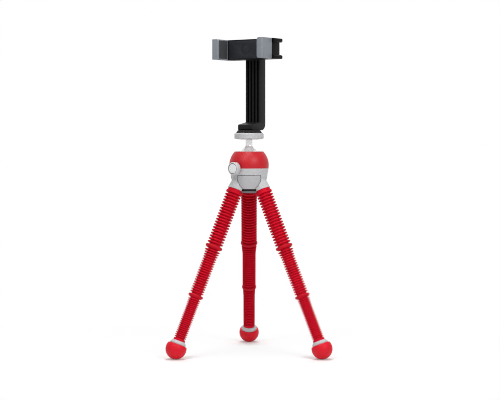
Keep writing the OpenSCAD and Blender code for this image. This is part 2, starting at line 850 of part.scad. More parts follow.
module moving_jaw() {
  color(JAW) difference() {
    translate([moving_jaw_x, 0, 0]) mirror([1, 0, 0]) jaw_solid(moving_jaw_t, back_y);
    liner(moving_jaw_x - liner_t, moving_jaw_x + eps, push_gap);
    at_rods() along_x(rod_r + push_gap, moving_jaw_x - rod_grip, moving_jaw_x + eps);
  }
}

// The liners lie flush in the jaws
module liner(from, to, grow) {
  box([from, jaw_front_y + lip_depth + liner_margin - grow, clamp_low + liner_edge - grow],
      [to, rest_y - liner_margin + grow, clamp_low + clamp_h - liner_edge + grow]);
}

module fixed_jaw_liner() {
  color("#55585c") liner(fixed_jaw_x, fixed_jaw_x + liner_t, 0);
}

module moving_jaw_liner() {
  color("#55585c") liner(moving_jaw_x - liner_t, moving_jaw_x, 0);
}

module guide_rods() {
  color(STEEL) at_rods() {
    along_x(rod_r, moving_jaw_x - rod_grip, rod_end_x);
    along_x(rod_collar_r, rod_end_x - rod_collar_t, rod_end_x);
  }
}

// Return springs round the guide rods, each one unbroken coil with open ends, long enough for the travel
function coil_point(k) = let (turn = 360 * k / spring_steps, n = spring_steps * spring_turns)
  [spring_wire_r + (spring_len - 2 * spring_wire_r) * k / n, spring_r * cos(turn), spring_r * sin(turn)];

module coil() {
  n = spring_steps * spring_turns;
  points = [for (k = [0 : n]) let (p = coil_point(k), turn = 360 * k / spring_steps)
    each [for (j = [0 : spring_sides - 1]) let (a = 360 * j / spring_sides)
      p + spring_wire_r * [cos(a), sin(a) * cos(turn), sin(a) * sin(turn)]]];
  faces = concat(
    [for (k = [0 : n - 1], j = [0 : spring_sides - 1])
      let (a = k * spring_sides + j, b = k * spring_sides + (j + 1) % spring_sides)
      each [[a, a + spring_sides, b], [b, a + spring_sides, b + spring_sides]]],
    [for (j = [1 : spring_sides - 2]) [0, j, j + 1]],
    [for (j = [1 : spring_sides - 2]) let (e = n * spring_sides) [e, e + j + 1, e + j]]);
  turn_gaps = [for (k = [0 : n - spring_steps], j = [spring_steps - 1, spring_steps, spring_steps + 1])
    if (k + j <= n) norm(coil_point(k + j) - coil_point(k)) - 2 * spring_wire_r];
  echo(least_gap_between_turns = min(turn_gaps));
  polyhedron(points, faces);
}

module jaw_springs() {
  color(STEEL) at_rods() translate([spring_start_x, 0, 0]) coil();
}

// Outline of the shoe from behind: a floor, two walls and two lips with sloped mouths
module shoe_outline() {
  lip_x = shoe_floor_x + shoe_slot_h;
  end_x = lip_x + shoe_lip_t;
  half_h = clamp_h / 2;
  for (side = [0, 1]) mirror([0, side]) {
    polygon([[housing_end_x, 0], [shoe_floor_x, 0], [shoe_floor_x, shoe_slot_w / 2], [lip_x, shoe_slot_w / 2],
             [lip_x, shoe_gap / 2], [end_x, shoe_gap / 2 + shoe_mouth], [end_x, half_h - shoe_corner],
             [end_x - shoe_corner, half_h], [housing_end_x, half_h]]);
    translate([end_x - shoe_corner, half_h - shoe_corner]) circle(r = shoe_corner);
  }
}

module accessory_shoe() {
  color(DARK) translate([0, back_y, clamp_z]) rotate([90, 0, 0])
    linear_extrude(height = back_y - shoe_front_y) shoe_outline();
}

module leg_piece(i, piece) {
  if (piece == "hip") hip(i);
  if (piece == "upper_link") upper_link(i);
  if (piece == "upper_sleeve") upper_sleeve(i);
  if (piece == "knee_collar") knee_collar(i);
  if (piece == "middle_link") middle_link(i);
  if (piece == "middle_sleeve") middle_sleeve(i);
  if (piece == "ankle_collar") ankle_collar(i);
  if (piece == "lower_link") lower_link(i);
  if (piece == "lower_sleeve") lower_sleeve(i);
  if (piece == "foot_cap") foot_cap(i);
  if (piece == "foot") foot(i);
}

socket_bowl();
socket_dome();
web_panels();
base_cover();
base_screws();
ball_seat();
ball_stem();
platform_disc();
platform_pad();
mount_stud();
lock_knob();
lock_screw();
brake_shoe();
mount_arm();
thread_insert();
pivot_screw();
pivot_washer();
clamp_housing();
clamp_cover();
pivot_cap();
fixed_jaw();
fixed_jaw_liner();
accessory_shoe();
moving_jaw();
moving_jaw_liner();
guide_rods();
jaw_springs();
for (i = [0 : 2], piece = ["hip", "upper_link", "upper_sleeve", "knee_collar", "middle_link", "middle_sleeve",
                           "ankle_collar", "lower_link", "lower_sleeve", "foot_cap", "foot"])
  leg_piece(i, piece);
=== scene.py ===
"""Looks of a small tripod: ribbed flexible legs, a ball head, a phone mount arm and a sprung phone clamp.

Sizes are in millimetres and become metres where a mesh is made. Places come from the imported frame.
"""
import json
import math

import bmesh
import bpy
from mathutils import Matrix, Vector

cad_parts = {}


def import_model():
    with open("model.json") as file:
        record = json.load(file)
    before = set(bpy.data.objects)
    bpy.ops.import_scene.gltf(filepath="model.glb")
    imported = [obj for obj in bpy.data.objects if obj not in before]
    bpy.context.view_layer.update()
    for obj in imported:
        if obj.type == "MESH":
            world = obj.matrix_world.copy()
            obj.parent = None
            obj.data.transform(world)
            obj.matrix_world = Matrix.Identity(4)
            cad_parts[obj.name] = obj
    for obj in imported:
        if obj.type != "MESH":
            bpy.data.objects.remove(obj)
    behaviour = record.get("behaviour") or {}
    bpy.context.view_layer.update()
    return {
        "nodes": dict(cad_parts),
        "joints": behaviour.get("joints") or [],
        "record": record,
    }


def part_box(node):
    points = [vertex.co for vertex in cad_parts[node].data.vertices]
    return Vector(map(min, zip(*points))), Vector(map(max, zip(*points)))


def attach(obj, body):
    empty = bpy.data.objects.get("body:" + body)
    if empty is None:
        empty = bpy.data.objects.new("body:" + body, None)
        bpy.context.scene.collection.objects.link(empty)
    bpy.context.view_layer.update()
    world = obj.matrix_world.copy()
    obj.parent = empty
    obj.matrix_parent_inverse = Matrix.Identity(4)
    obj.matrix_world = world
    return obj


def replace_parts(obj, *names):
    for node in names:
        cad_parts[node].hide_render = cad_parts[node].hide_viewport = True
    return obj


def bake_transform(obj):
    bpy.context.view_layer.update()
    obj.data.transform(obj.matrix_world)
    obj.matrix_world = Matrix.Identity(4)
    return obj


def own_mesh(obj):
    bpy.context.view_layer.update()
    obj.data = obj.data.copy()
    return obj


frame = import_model()
nodes = frame["nodes"]
joints = {joint["name"]: joint for joint in frame["joints"]}
MM = 0.001

# Legs, measured along a leg from its mouth in the hub
LEGS = ("rear", "left", "right")
UPPER_LEN, KNEE_D, KNEE_T = 62.2, 17.9, 3.0
MIDDLE_LEN, ANKLE_D, ANKLE_T = 50.9, 15.6, 2.8
LOWER_LEN, CAP_T, FOOT_CUT = 47.4, 3.8, 4.6
MIDDLE_S = UPPER_LEN + KNEE_T
LOWER_S = MIDDLE_S + MIDDLE_LEN + ANKLE_T
FOOT_FACE_S = LOWER_S + LOWER_LEN + CAP_T
FOOT_R, FOOT_RIM_ROUND, FOOT_PEG_R, FOOT_PEG_LEN = 10.7, 0.9, 3.05, 5.0
FIRST_BEND, SECOND_BEND, BEND_REACH = 0.25, 0.75, 0.2

# Ribs of the sleeves
RIB_SHARE, RIB_CROWN, RIB_STEPS, TAPER_RIBS, SLEEVE_STEPS = 0.54, 0.5, 8, 3, 56
CUFF_NECK_R, CUFF_BEAD_R, CUFF_NECK_LEN, CUFF_LEN = 7.45, 8.55, 2.2, 4.6
TOP_BAND, END_BAND, END_CUFF_R, END_CUFF_LEN = 0.5, 0.4, 6.1, 2.4
SECTIONS = (
    {"name": "upper", "start": 0.0, "length": UPPER_LEN, "rib_r": 8.35, "root_r": 5.9, "bore_r": 4.5,
     "pitch": 3.07, "swell": 0.2, "bodies": ("base", "{}_upper_link", "{}_knee")},
    {"name": "middle", "start": MIDDLE_S, "length": MIDDLE_LEN, "rib_r": 7.2, "root_r": 5.15, "bore_r": 3.75,
     "pitch": 2.53, "swell": 1.2, "bodies": ("{}_knee", "{}_middle_link", "{}_ankle")},
    {"name": "lower", "start": LOWER_S, "length": LOWER_LEN, "rib_r": 6.3, "root_r": 4.75, "bore_r": 3.5,
     "pitch": 2.03, "swell": 0.5, "bodies": ("{}_ankle", "{}_lower_link", "{}_foot")},
)

# Hub, measured from the ball's centre
BALL_R, HOUSING_R, DOME_TOP, PARTING = 16.0, 20.5, 14.2, 3.2
WAIST_R, WAIST_DROP, CORE_R, CORE_DROP, SHELL_CURVE = 17.2, 16.0, 15.2, 24.5, 1.5
MOUTH_R, BOSS_DEPTH, BOSS_TAPER = 8.1, 10.5, 0.8
SEAT_POCKET_R, SEAT_DROP, SEAT_TOP, CAVITY_R = 18.2, 6.0, 3.3, 16.6
DOME_BORE_LOW_R, DOME_BORE_TOP_R, DOME_RIM_ROUND = 15.96, 13.65, 0.5
HIP_BORE_R, HIP_DEPTH = 2.85, 7.5
# The cover band size on the next line is the height of the base cover's black band, painted shade of the gap under
# the panels.
BOWL_VOXEL, BOWL_SMOOTHING, SLIVER, PANEL_GAP, COVER_SHADE_BAND = 0.4, 14, 0.01, 0.4, 2.2
FLARE_ANGLE = math.radians(42)
NECK_R, STEM_TOP, NECK_FILLET = 3.5, 31.5, 2.0
PLATFORM_RISE, PLATFORM_R, PLATFORM_T, PAD_T = 26.6, 15.2, 6.7, 2.9
STUD_R, SPIGOT_LEN = 3.225, 4.9
DISC_HOLLOW, DISC_DISH, DISC_LOW_EDGE, DISC_TOP_BEVEL = 6.8, 0.7, 0.6, 0.9
PAD_LOW_INSET, PAD_TOP_INSET, PAD_STUD_GAP = 1.6, 3.6, 0.3

# Lock, measured out from the hub's axis
KNOB_START, KNOB_R, KNOB_T, SHANK_START, SHANK_R = 21.8, 6.6, 6.0, 21.0, 3.4
KNOB_BACK_BEVEL, KNOB_FRONT_BEVEL = 0.8, 1.0
LOCK_SCREW_R, LOCK_BORE_R = 2.55, 2.6
KNOB_FACE_R, KNOB_GROOVE, FACE_POCKET, FACE_SUNK, FACE_CROWN = 4.9, 0.45, 1.2, 0.1, 0.1
# The ring sizes on the next line place the black ring in the knob's groove, painted shade of that groove.
SCREW_END, GROOVE_SHADE_LIFT, GROOVE_SHADE_SUNK = 1.8, 0.05, 0.5

# Clamp
SPRING_R, WIRE_R, SPRING_TURNS, SPRING_STEPS, SPRING_KEPT = 1.75, 0.25, 14, 20, 0.215
PLATE_EDGE, PLATE_T, PLATE_GAP, PLATE_STEP, PLATE_BEVEL = 1.3, 0.6, 0.1, 0.5, 0.15
CAP_GAP, CUT_OVER = 0.05, 1.0

# Photograph
PHOTO_W = 500
PHOTO_AZIMUTH = math.radians(35)
CAMERA_DISTANCE, CAMERA_HEIGHT, AIM_HEIGHT, AIM_RIGHT = 1500, 221, 160.1, 1.0
MM_PER_PIXEL, SENSOR_W = 1.04, 36.0

# Shadow on the floor: the white share at a distance from the middle, and at a distance from a foot, in metres.
# Where the share drops, the lit floor shows the real shadow and, being less than white, also paints a grey shade
# round the middle and round each foot.
SHADOW_ROUND_OBJECT = {"From Min": 0.11, "From Max": 0.34, "To Min": 0.8, "To Max": 1.0}
SHADOW_ROUND_FOOT = {"From Min": 0.012, "From Max": 0.045, "To Min": 0.2, "To Max": 1.0}

BALL = Matrix.Translation(Vector(joints["head_tilt"]["pos_m"]))


# Finishes
def linear(r, g, b):
    """A colour given on the 0 to 255 scale of a picture, as light."""
    def light(v):
        v /= 255
        return v / 12.92 if v <= 0.04045 else ((v + 0.055) / 1.055) ** 2.4
    return light(r), light(g), light(b)


def finish(name, colour, roughness, grain, depth, mottle=0.06, spread=0.06, metallic=0.0, stretch=(1, 1, 1),
           gloss=0.3):
    """A material with broad mottling, uneven roughness and a fine grain; grain size and depth in millimetres.

    Stretched grain gives the fine rings of a turned metal.
    """
    material = bpy.data.materials.new(name)
    material.use_nodes = True
    tree = material.node_tree
    shader = tree.nodes["Principled BSDF"]
    shader.inputs["Metallic"].default_value = metallic
    shader.inputs["Specular IOR Level"].default_value = gloss

    def node(kind, **values):
        made = tree.nodes.new(kind)
        for key, value in values.items():
            made.inputs[key.replace("_", " ")].default_value = value
        return made

    place = node("ShaderNodeTexCoord").outputs["Object"]
    cloud = node("ShaderNodeTexNoise", Scale=70.0, Detail=4.0, Roughness=0.6)
    tree.links.new(place, cloud.inputs["Vector"])
    shade = tree.nodes.new("ShaderNodeValToRGB")
    for stop, position, level in zip(shade.color_ramp.elements, (0.3, 0.7), (1 - mottle, 1 + mottle)):
        stop.position = position
        stop.color = [min(1.0, c * level) for c in colour] + [1.0]
    tree.links.new(cloud.outputs["Fac"], shade.inputs["Fac"])
    tree.links.new(shade.outputs["Color"], shader.inputs["Base Color"])

    turned = node("ShaderNodeMapping", Scale=stretch)
    tree.links.new(place, turned.inputs["Vector"])
    fine = node("ShaderNodeTexNoise", Scale=1 / (grain * MM), Detail=3.0, Roughness=0.55)
    tree.links.new(turned.outputs["Vector"], fine.inputs["Vector"])
    rough = node("ShaderNodeMapRange", From_Min=0.3, From_Max=0.7,
                 To_Min=max(0.02, roughness - spread), To_Max=roughness + spread)
    tree.links.new(fine.outputs["Fac"], rough.inputs["Value"])
    tree.links.new(rough.outputs["Result"], shader.inputs["Roughness"])
    bump = node("ShaderNodeBump", Strength=0.5, Distance=depth * MM)
    tree.links.new(fine.outputs["Fac"], bump.inputs["Height"])
    tree.links.new(bump.outputs["Normal"], shader.inputs["Normal"])
    return material


FINISHES = {
    "leg_red": finish("smooth_red_elastomer", linear(188, 5, 31), 0.55, 0.35, 0.015, gloss=0.16),
    "shell_red": finish("satin_red_shell", linear(186, 8, 25), 0.46, 0.5, 0.012, mottle=0.04, gloss=0.4),
    "light_grey": finish("satin_light_grey", linear(188, 189, 191), 0.45, 0.5, 0.015, mottle=0.03),
    "black_plastic": finish("moulded_black", linear(15, 15, 17), 0.5, 0.4, 0.03, mottle=0.1, gloss=0.18),
    "jaw_grey": finish("satin_jaw_grey", linear(130, 135, 142), 0.45, 0.5, 0.02, mottle=0.04),
    "liner_grey": finish("matte_liner", linear(62, 64, 66), 0.75, 0.6, 0.05, mottle=0.08, gloss=0.2),
    "pad_black": finish("matte_pad", linear(24, 24, 26), 0.8, 0.6, 0.05, mottle=0.1, gloss=0.2),
    "bright_metal": finish("satin_bright_metal", linear(244, 244, 245), 0.2, 0.5, 0.004, mottle=0.02, spread=0.04,
                           metallic=0.45, stretch=(1, 1, 12), gloss=0.5),
    "steel": finish("turned_steel", linear(206, 206, 205), 0.28, 0.4, 0.008, mottle=0.04,
                    metallic=1.0, stretch=(1, 1, 8)),
    "brass": finish("turned_brass", linear(202, 166, 92), 0.3, 0.4, 0.008, mottle=0.05,
                    metallic=1.0, stretch=(1, 1, 8)),
    "nylon": finish("smooth_nylon", linear(226, 222, 208), 0.4, 0.8, 0.01, mottle=0.03),
    "link_black": finish("link_black", linear(30, 30, 33), 0.55, 0.5, 0.02, mottle=0.08, gloss=0.2),
}
RIB_RED = finish("ribbed_red_elastomer", linear(206, 6, 38), 0.6, 0.35, 0.01, mottle=0.04, gloss=0.12)
KNOB_FACE = finish("pale_knob_face", linear(228, 230, 232), 0.3, 0.4, 0.006, mottle=0.02, spread=0.05, gloss=0.5)
FOOT_RED = finish("smooth_red_rubber", linear(212, 16, 38), 0.5, 0.4, 0.015, mottle=0.04, gloss=0.22)
SHOE_BLACK = finish("satin_black_shoe", linear(6, 6, 8), 0.55, 0.4, 0.02, mottle=0.1, gloss=0.1)
# The panels' grey is the hub's light grey made darker: painted shade of their downward tilt.
PANEL_GREY = finish("satin_panel_grey", linear(178, 178, 181), 0.45, 0.5, 0.015, mottle=0.03)
RIM_GREY = finish("satin_rim_grey", linear(104, 102, 104), 0.5, 0.5, 0.015, mottle=0.03)
PLATE = finish("fine_grained_plate", linear(34, 35, 39), 0.6, 0.3, 0.03, mottle=0.1, gloss=0.2)
SLOTS = {part["node"]: part["material_slot"] for part in frame["record"]["subparts"]}
BODIES = {node: body for body, members in frame["record"]["behaviour"]["bodies"].items() for node in members}
for name, slot in SLOTS.items():
    nodes[name].data.materials.clear()
    nodes[name].data.materials.append(FINISHES[slot])


# Making pieces
def shown(mesh, name, node, ride=True, sharp=35, look=None, slot=None):
    """The finished mesh as a piece that stands for a CAD node, with its finish and on its body."""
    slot = slot or SLOTS[node]
    data = bpy.data.meshes.new(name)
    mesh.to_mesh(data)
    mesh.free()
    data.shade_smooth()
    data.set_sharp_from_angle(angle=math.radians(sharp))
    data.materials.append(look or FINISHES[slot])
    piece = bpy.data.objects.new(name, data)
    bpy.context.scene.collection.objects.link(piece)
    if ride:
        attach(piece, BODIES[node])
    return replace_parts(piece, node)


def rounded(corners, steps=4):
    """An outline of (radius, height, rounding) corners, each rounded corner turned into an arc of points."""
    points = []
    for i, (x, y, r) in enumerate(corners):
        here = Vector((x, y))
        if r == 0:
            points.append(here)
            continue
        to_last = (Vector(corners[i - 1][:2]) - here).normalized()
        to_next = (Vector(corners[(i + 1) % len(corners)][:2]) - here).normalized()
        half = to_last.angle(to_next) / 2
        centre = here + (to_last + to_next).normalized() * (r / math.sin(half))
        start = here + to_last * (r / math.tan(half)) - centre
        end = here + to_next * (r / math.tan(half)) - centre
        points += [centre + start.lerp(end, k / steps).normalized() * r for k in range(steps + 1)]
    return points


def arc(radius, start, end, steps=24):
    """Points of a round outline about the origin, between two angles above the horizontal."""
    angles = [start + (end - start) * k / steps for k in range(steps + 1)]
    return [Vector((radius * math.cos(a), radius * math.sin(a))) for a in angles]


def spun(outline, place, steps=64, ring=False):
    """A solid turned from an outline of (radius, height) points; the outline of a ring is closed."""
    mesh = bmesh.new()
    points = [mesh.verts.new((p[0] * MM, 0, p[1] * MM)) for p in outline]
    edges = [mesh.edges.new(pair) for pair in zip(points, points[1:])]
    if ring:
        edges.append(mesh.edges.new((points[-1], points[0])))
    bmesh.ops.spin(mesh, geom=points + edges, cent=(0, 0, 0), axis=(0, 0, 1), dvec=(0, 0, 0),
                   angle=math.tau, steps=steps, use_merge=True)
    bmesh.ops.remove_doubles(mesh, verts=mesh.verts, dist=1e-7)
    bmesh.ops.recalc_face_normals(mesh, faces=mesh.faces)
    bmesh.ops.transform(mesh, matrix=place, verts=mesh.verts)
    return mesh


def peg(radius, low, high, place, steps=48):
    """A plain round bar, used to cut bores."""
    return spun([(0, low), (radius, low), (radius, high), (0, high)], place, steps)


def turned_to(direction, origin):
    """The place of a piece whose height runs along a direction from an origin."""
    return Matrix.Translation(origin) @ direction.to_track_quat("Z", "Y").to_matrix().to_4x4()


def copied(node):
    """The mesh of a CAD node, merged, with its flat faces in one piece."""
    mesh = bmesh.new()
    mesh.from_mesh(nodes[node].data)
    bmesh.ops.remove_doubles(mesh, verts=mesh.verts, dist=1e-6)
    bmesh.ops.dissolve_limit(mesh, angle_limit=math.radians(1), verts=mesh.verts, edges=mesh.edges)
    return mesh


def softened(node, width, picked=lambda edge: True, sharp=30, look=None):
    """A copy of a CAD piece with its picked sharp edges rounded."""
    mesh = copied(node)
    edges = [e for e in mesh.edges
             if len(e.link_faces) == 2 and e.calc_face_angle() > math.radians(sharp) and picked(e)]
    bmesh.ops.bevel(mesh, geom=edges, offset=width * MM, offset_type="OFFSET", affect="EDGES",
                    segments=3, profile=0.5, material=-1, clamp_overlap=True)
    return shown(mesh, node + "_moulded", node, look=look)


def held(mesh):
    """A mesh as a scratch object for a modifier."""
    data = bpy.data.meshes.new("scratch")
    mesh.to_mesh(data)
    mesh.free()
    scratch = bpy.data.objects.new("scratch", data)
    bpy.context.scene.collection.objects.link(scratch)
    return scratch


def evaluated(scratch):
    """The mesh of a scratch object with its modifiers, and the object taken away."""
    bpy.context.view_layer.update()
    data = bpy.data.meshes.new_from_object(scratch.evaluated_get(bpy.context.evaluated_depsgraph_get()))
    mesh = bmesh.new()
    mesh.from_mesh(data)
    bpy.data.meshes.remove(scratch.data)
    bpy.data.meshes.remove(data)
    return mesh


def cut(mesh, *cutters):
    """The mesh with each cutter taken out of it."""
    for cutter in cutters:
        blank, tool = held(mesh), held(cutter)
        boolean = blank.modifiers.new("cut", "BOOLEAN")
        boolean.operation, boolean.solver, boolean.object = "DIFFERENCE", "EXACT", tool
        mesh = evaluated(blank)
        bpy.data.meshes.remove(tool.data)
    return mesh


# Legs
def leg_place(leg):
    """The place of a leg: its origin at the mouth, its height down the leg."""
    first = Vector(joints[f"{leg}_upper_out"]["pos_m"])
    last = Vector(joints[f"{leg}_lower_side"]["pos_m"])
    down = (last - first).normalized()
    return turned_to(down, first - down * FIRST_BEND * UPPER_LEN * MM)


def sleeve_top(section):
    """Outline of a sleeve's top: a neck and a bead under the hub, or a band under a collar."""
    root_r = section["root_r"]
    if section["name"] == "upper":
        return rounded([(CUFF_NECK_R, 0, 0), (CUFF_NECK_R, CUFF_NECK_LEN, 0.3),
                        (CUFF_BEAD_R, CUFF_NECK_LEN + 0.5, 0.5), (CUFF_BEAD_R, CUFF_LEN, 0.5),
                        (root_r, CUFF_LEN + 0.5, 0)])
    collar_d, collar_t = (KNEE_D, KNEE_T) if section["name"] == "middle" else (ANKLE_D, ANKLE_T)
    band_r = (collar_d - collar_t) / 2
    return rounded([(band_r, 0, 0), (band_r, TOP_BAND, 0.2), (root_r, TOP_BAND + 0.5, 0)])


def sleeve_outline(section):
    """Outer outline of a sleeve: its top, rounded ribs that swell towards a wider top, and its end."""
    length, rib_r, root_r, pitch = (section[key] for key in ("length", "rib_r", "root_r", "pitch"))
    outline = sleeve_top(section)
    top_len = outline[-1][1]
    last = section["name"] == "lower"
    end_r, end_len = (END_CUFF_R, END_CUFF_LEN) if last else (root_r, END_BAND)
    room = length - top_len - end_len
    count = math.floor(room / pitch)
    start = top_len + (room - count * pitch) / 2
    for rib in range(count):
        swell = section["swell"] * max(0, 1 - (rib + 1) / (TAPER_RIBS + 1))
        for step in range(RIB_STEPS + 1):
            turn = math.pi * step / RIB_STEPS
            crown = math.sin(turn) ** RIB_CROWN if 0 < step < RIB_STEPS else 0
            along = start + pitch * (rib + 0.5 - RIB_SHARE / 2 * math.cos(turn))
            outline.append(Vector((root_r + (rib_r + swell - root_r) * crown, along)))
    if last:
        outline += [Vector((root_r, length - end_len))]
        cuff = [(root_r, length - end_len, 0), (end_r, length - end_len, 0.4), (end_r, length, 0)]
        outline += rounded(cuff)[1:]
    else:
        outline.append(Vector((end_r, length)))
    return outline


def half_sleeves(leg, section):
    """The two halves of a sleeve, split at the rib valley nearest its middle."""
    place = leg_place(leg)
    start, length, bore_r = section["start"], section["length"], section["bore_r"]
    parent, link, child = (body.format(leg) for body in section["bodies"])
    outline = sleeve_outline(section)
    middle = min((k for k, p in enumerate(outline) if p[0] <= section["root_r"] + 1e-6),
                 key=lambda k: abs(outline[k][1] - length / 2))
    halves = (("first", outline[:middle + 1], FIRST_BEND, parent, link),
              ("second", outline[middle:], SECOND_BEND, link, child))
    for half, line, bend, above, below in halves:
        ring = [(bore_r, line[0][1])] + list(line) + [(bore_r, line[-1][1])]
        mesh = spun([(p[0], p[1] + start) for p in ring], place, SLEEVE_STEPS, ring=True)
        piece = shown(mesh, f"{leg}_{section['name']}_sleeve_{half}_half", f"{leg}_{section['name']}_sleeve",
                      ride=False, sharp=60, look=RIB_RED)
        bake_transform(piece)


def foot(leg):
    """Rubber foot: a ball cut square to the leg, with a rounded rim and a socket for the cap's peg."""
    rim = math.asin(FOOT_CUT / FOOT_R)
    face_r = FOOT_R * math.cos(rim)
    ball = arc(FOOT_R, rim - 0.1, -math.pi / 2)
    outline = [(0, FOOT_CUT - FOOT_PEG_LEN), (FOOT_PEG_R, FOOT_CUT - FOOT_PEG_LEN), (FOOT_PEG_R, FOOT_CUT)]
    outline += rounded([(0, FOOT_CUT, 0), (face_r, FOOT_CUT, FOOT_RIM_ROUND), (*ball[0], 0)])[1:-1] + ball
    centre = Matrix.Translation((0, 0, (FOOT_FACE_S + FOOT_CUT) * MM))
    mesh = spun(outline, leg_place(leg) @ centre @ Matrix.Diagonal((1, 1, -1, 1)))
    bmesh.ops.recalc_face_normals(mesh, faces=mesh.faces)
    shown(mesh, f"{leg}_foot_ball", f"{leg}_foot", look=FOOT_RED)


def on_cap_band(leg):
    """Tells whether an edge lies on the band of a foot cap, away from the links."""
    to_leg = leg_place(leg).inverted()

    def picked(edge):
        points = [to_leg @ v.co for v in edge.verts]
        return all(math.hypot(p.x, p.y) > 5 * MM for p in points)
    return picked


for leg in LEGS:
    for section in SECTIONS:
        half_sleeves(leg, section)
    softened(f"{leg}_foot_cap", 0.4, on_cap_band(leg))
    foot(leg)


# Hub
def shell_at(drop):
    """Radius of the bowl at a depth under the ball's centre."""
    rim_r = math.sqrt(HOUSING_R ** 2 - PARTING ** 2)
    share = max(0, (drop - PARTING) / (WAIST_DROP - PARTING))
    return rim_r - (rim_r - WAIST_R) * share ** SHELL_CURVE


def lock_place():
    """The place of the lock: its height runs out of the hub from the hub's axis."""
    out = Vector(joints["lock_turn"]["axis"])
    centre = Vector(joints["lock_turn"]["pos_m"])
    return turned_to(out, centre - out * centre.dot(out))


def lock_bore():
    return peg(LOCK_BORE_R, BALL_R, HOUSING_R + 2, lock_place())


def trimmed(mesh, point, normal):
    """The mesh without what lies beyond a plane, and closed there."""
    geometry = mesh.verts[:] + mesh.edges[:] + mesh.faces[:]
    made = bmesh.ops.bisect_plane(mesh, geom=geometry, plane_co=point, plane_no=normal, clear_outer=True)
    edges = [e for e in made["geom_cut"] if isinstance(e, bmesh.types.BMEdge)]
    bmesh.ops.triangle_fill(mesh, use_beauty=True, edges=edges)
    return mesh


def grown(node, gap):
    """A copy of a CAD piece, larger all round by a gap."""
    mesh = copied(node)
    mesh.normal_update()
    moves = [(v, v.normal * v.calc_shell_factor() * gap * MM) for v in mesh.verts]
    for v, move in moves:
        v.co += move
    return mesh


def bowl():
    """Socket bowl: the turned body and the three leg bosses run into each other, then the cuts."""
    over = 3
    drops = [PARTING + (WAIST_DROP - PARTING) * k / 12 for k in range(13)]
    outline = [(0, over - PARTING), (shell_at(PARTING), over - PARTING)]
    outline += [(shell_at(drop), -drop) for drop in drops] + [(CORE_R, -CORE_DROP), (0, -CORE_DROP)]
    blank = held(spun(outline, BALL))
    slope = (1 - BOSS_TAPER) * MOUTH_R / BOSS_DEPTH
    boss_line = [(0, -BOSS_DEPTH), (BOSS_TAPER * MOUTH_R, -BOSS_DEPTH), (MOUTH_R + slope * over, over),
                 (0, over)]
    bosses = [held(spun(boss_line, leg_place(leg))) for leg in LEGS]
    for boss in bosses:
        join = blank.modifiers.new("boss", "BOOLEAN")
        join.operation, join.solver, join.object = "UNION", "EXACT", boss
    remesh = blank.modifiers.new("skin", "REMESH")
    remesh.mode, remesh.voxel_size = "VOXEL", BOWL_VOXEL * MM
    mesh = evaluated(blank)
    for boss in bosses:
        bpy.data.meshes.remove(boss.data)
    for _ in range(BOWL_SMOOTHING):
        bmesh.ops.smooth_vert(mesh, verts=mesh.verts, factor=0.5,
                              use_axis_x=True, use_axis_y=True, use_axis_z=True)
    trimmed(mesh, BALL @ Vector((0, 0, -PARTING * MM)), Vector((0, 0, 1)))
    for leg in LEGS:
        place = leg_place(leg)
        trimmed(mesh, place.translation, place.to_3x3() @ Vector((0, 0, 1)))
    cavity = spun(arc(CAVITY_R, -math.pi / 2, 0) + [Vector((SEAT_POCKET_R, 0)), Vector((0, 0))], BALL)
    pocket = peg(SEAT_POCKET_R, -SEAT_DROP, 0, BALL, 64)
    bores = [peg(HIP_BORE_R, -HIP_DEPTH, 1, leg_place(leg)) for leg in LEGS]
    mesh = cut(mesh, cavity, pocket, lock_bore(), grown("web_panels", PANEL_GAP), *bores)
    bmesh.ops.triangulate(mesh, faces=mesh.faces)
    bmesh.ops.dissolve_degenerate(mesh, dist=SLIVER * MM, edges=mesh.edges)
    shown(mesh, "socket_bowl_moulded", "socket_bowl", sharp=40)


def dome():
    """Red dome with a rounded rim round its mouth, a hollow for the seat and half of the lock's bore."""
    rim = math.asin(DOME_TOP / HOUSING_R)
    outer = arc(HOUSING_R, -math.asin(PARTING / HOUSING_R), rim - 0.05, 32)
    rim_line = rounded([(*outer[-1], 0), (HOUSING_R * math.cos(rim), DOME_TOP, DOME_RIM_ROUND),
                        (DOME_BORE_TOP_R, DOME_TOP, DOME_RIM_ROUND * 0.8), (DOME_BORE_LOW_R, SEAT_TOP, 0)])
    outline = outer[:-1] + rim_line + [Vector((SEAT_POCKET_R, SEAT_TOP)), Vector((SEAT_POCKET_R, -PARTING))]
    shown(cut(spun(outline, BALL, 96, ring=True), lock_bore()), "socket_dome_shell", "socket_dome", sharp=40)


def ball_and_stem():
    """Ball, flare and neck in one piece, with a soft turn where the flare meets the neck."""
    tangent = Vector((BALL_R * math.cos(FLARE_ANGLE), BALL_R * math.sin(FLARE_ANGLE)))
    flare_top = BALL_R / math.sin(FLARE_ANGLE) - NECK_R / math.tan(FLARE_ANGLE)
    outline = arc(BALL_R, -math.pi / 2, FLARE_ANGLE, 40)
    outline += rounded([(*tangent, 0), (NECK_R, flare_top, NECK_FILLET), (NECK_R, STEM_TOP, 0.3),
                        (0, STEM_TOP, 0)])[1:]
    shown(spun(outline, BALL), "ball_and_stem", "ball_stem")


